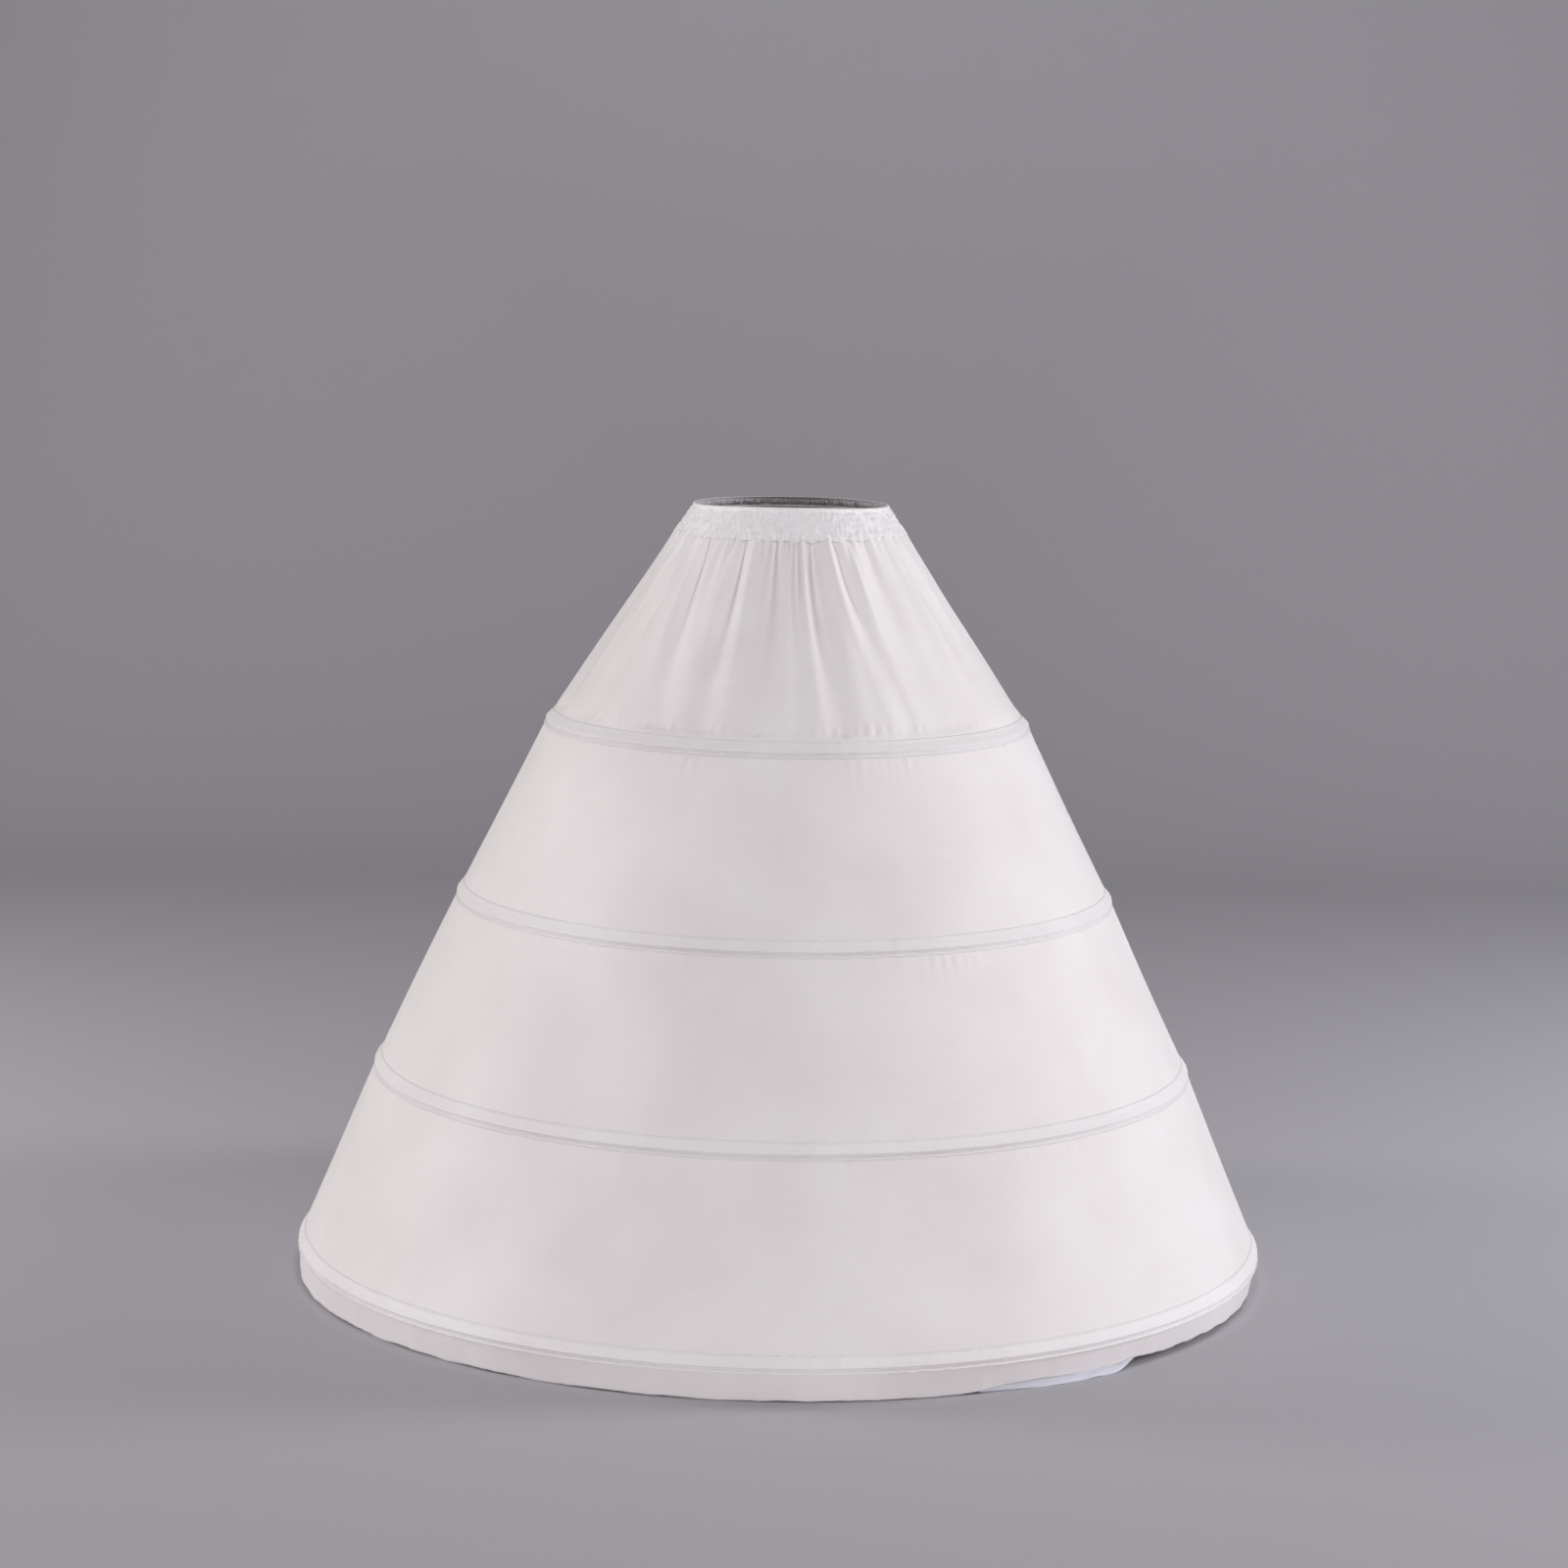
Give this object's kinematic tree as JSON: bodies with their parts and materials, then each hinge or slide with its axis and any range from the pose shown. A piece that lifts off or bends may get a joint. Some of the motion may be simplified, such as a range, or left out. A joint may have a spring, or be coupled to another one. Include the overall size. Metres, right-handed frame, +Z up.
{
  "type": "hoop petticoat",
  "caption": "Full-length covered hoop petticoat: a gathered top tier on an elastic waistband and smooth conical tiers held out by steel hoops in stitched casings.",
  "frame": {"origin": "centre of the hem circle on the floor, on the skirt's upright axis", "axes": "+Z up through the waist; -Y is the front of the skirt; +X is to the right in the picture, the wearer's left"},
  "size_m": [1.1068, 1.1068, 0.88],
  "materials": {
    "skirt_cloth": "white polyester taffeta, smooth and softly matt, faintly translucent",
    "band_cloth": "white taffeta ruched over elastic",
    "casing_tape": "white taffeta, two rows of stitches, slightly puckered",
    "facing": "thin bluish white lining, translucent",
    "elastic": "white woven elastic, ribbed lengthwise",
    "boning": "white plastic coat on flat spring steel",
    "joiner_metal": "crimped plated sleeve"
  },
  "bodies": {
    "root": {"gathered_tier_back": "skirt_cloth", "gathered_tier_front": "skirt_cloth", "hem_band": "skirt_cloth", "hem_facing_end": "facing", "hoop_1": "boning", "hoop_2": "boning", "hoop_3": "boning", "hoop_4": "boning", "hoop_casing_1": "casing_tape", "hoop_casing_2": "casing_tape", "hoop_casing_3": "casing_tape", "hoop_casing_4": "casing_tape", "hoop_joiner_1": "joiner_metal", "hoop_joiner_2": "joiner_metal", "hoop_joiner_3": "joiner_metal", "hoop_joiner_4": "joiner_metal", "lower_panel_back": "skirt_cloth", "lower_panel_front": "skirt_cloth", "middle_panel_back": "skirt_cloth", "middle_panel_front": "skirt_cloth", "upper_panel_back": "skirt_cloth", "upper_panel_front": "skirt_cloth", "waist_elastic": "elastic", "waistband": "band_cloth"}
  },
  "joints": []
}
